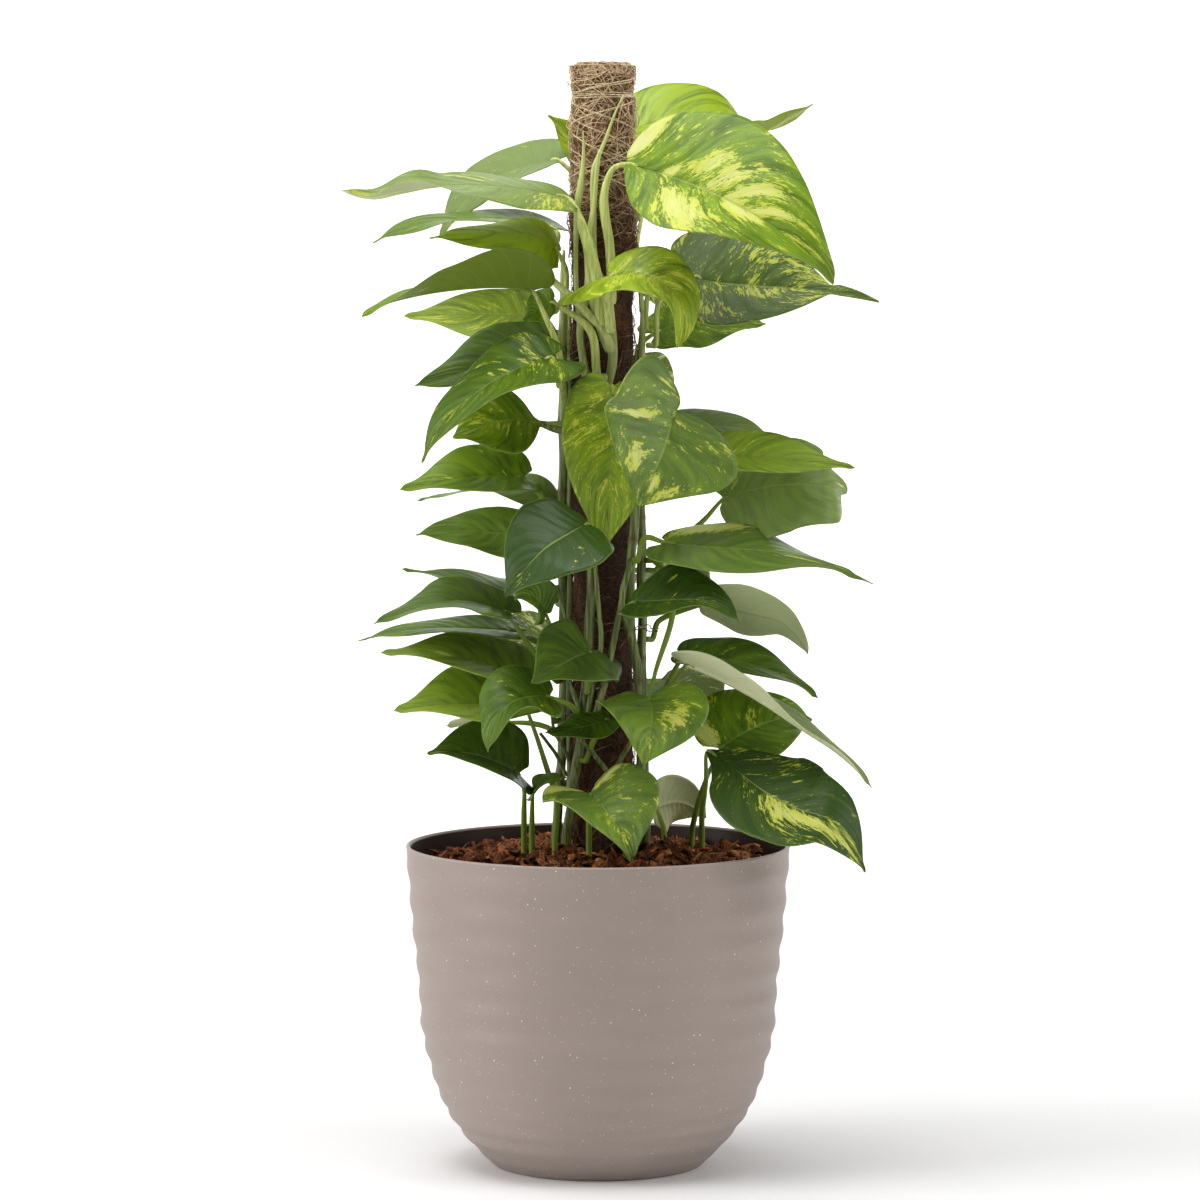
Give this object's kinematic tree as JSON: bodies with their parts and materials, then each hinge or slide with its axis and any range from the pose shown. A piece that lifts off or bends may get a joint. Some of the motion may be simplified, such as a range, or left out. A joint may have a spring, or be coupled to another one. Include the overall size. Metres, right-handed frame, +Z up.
{
  "type": "potted golden pothos",
  "caption": "Golden pothos climbing a coir pole, with yellow-flecked heart-shaped leaves, in a round plastic pot with soft wavy bands.",
  "frame": {"origin": "centre of the pot's flat foot, on the surface it stands on", "axes": "+Z up along the pot's axis; +Y away from the viewer of the plant's front; +X to that viewer's right"},
  "size_m": [0.3423, 0.2538, 0.7139],
  "materials": {
    "pot_plastic": "satin, finely speckled",
    "soil": "rough, damp",
    "bark": "rough",
    "stake": "rough",
    "coir": "loose fibre",
    "twine": "twisted thread",
    "stem": "smooth, slightly waxy",
    "leaf": "glossy above, duller below",
    "leaf_bright": "glossy, flecked with yellow"
  },
  "bodies": {
    "root": {"pot": "pot_plastic", "soil": "soil", "bark_mulch": "bark", "pole_core": "stake", "coir_sleeve": "coir", "pole_twine": "twine", "vine_front": "stem", "vine_right_front": "stem", "vine_left": "stem", "vine_right": "stem", "vine_back_left": "leaf", "vine_back_right": "leaf", "leaf_02": "leaf_bright", "leaf_06": "leaf", "leaf_07": "leaf", "leaf_08": "leaf", "leaf_09": "leaf", "leaf_10": "leaf", "leaf_11": "leaf", "leaf_12": "leaf", "leaf_13": "leaf", "leaf_14": "leaf", "leaf_15": "leaf", "leaf_16": "leaf", "leaf_17": "leaf", "leaf_18": "leaf", "leaf_19": "leaf", "leaf_19b": "leaf", "leaf_20": "leaf", "leaf_21": "leaf", "leaf_22": "leaf", "leaf_23": "leaf", "leaf_25": "leaf", "leaf_25b": "leaf", "leaf_26": "leaf", "leaf_27": "leaf", "leaf_28": "leaf", "leaf_29": "leaf", "leaf_30": "leaf", "leaf_31": "leaf", "leaf_32": "leaf", "leaf_34": "leaf", "leaf_35": "leaf", "leaf_36": "leaf", "leaf_37": "leaf", "leaf_38": "leaf", "leaf_39": "leaf", "leaf_40": "leaf", "leaf_41": "leaf", "leaf_42": "leaf", "leaf_43": "leaf", "leaf_45": "leaf_bright", "leaf_47": "leaf", "leaf_57": "leaf"}
  },
  "joints": []
}
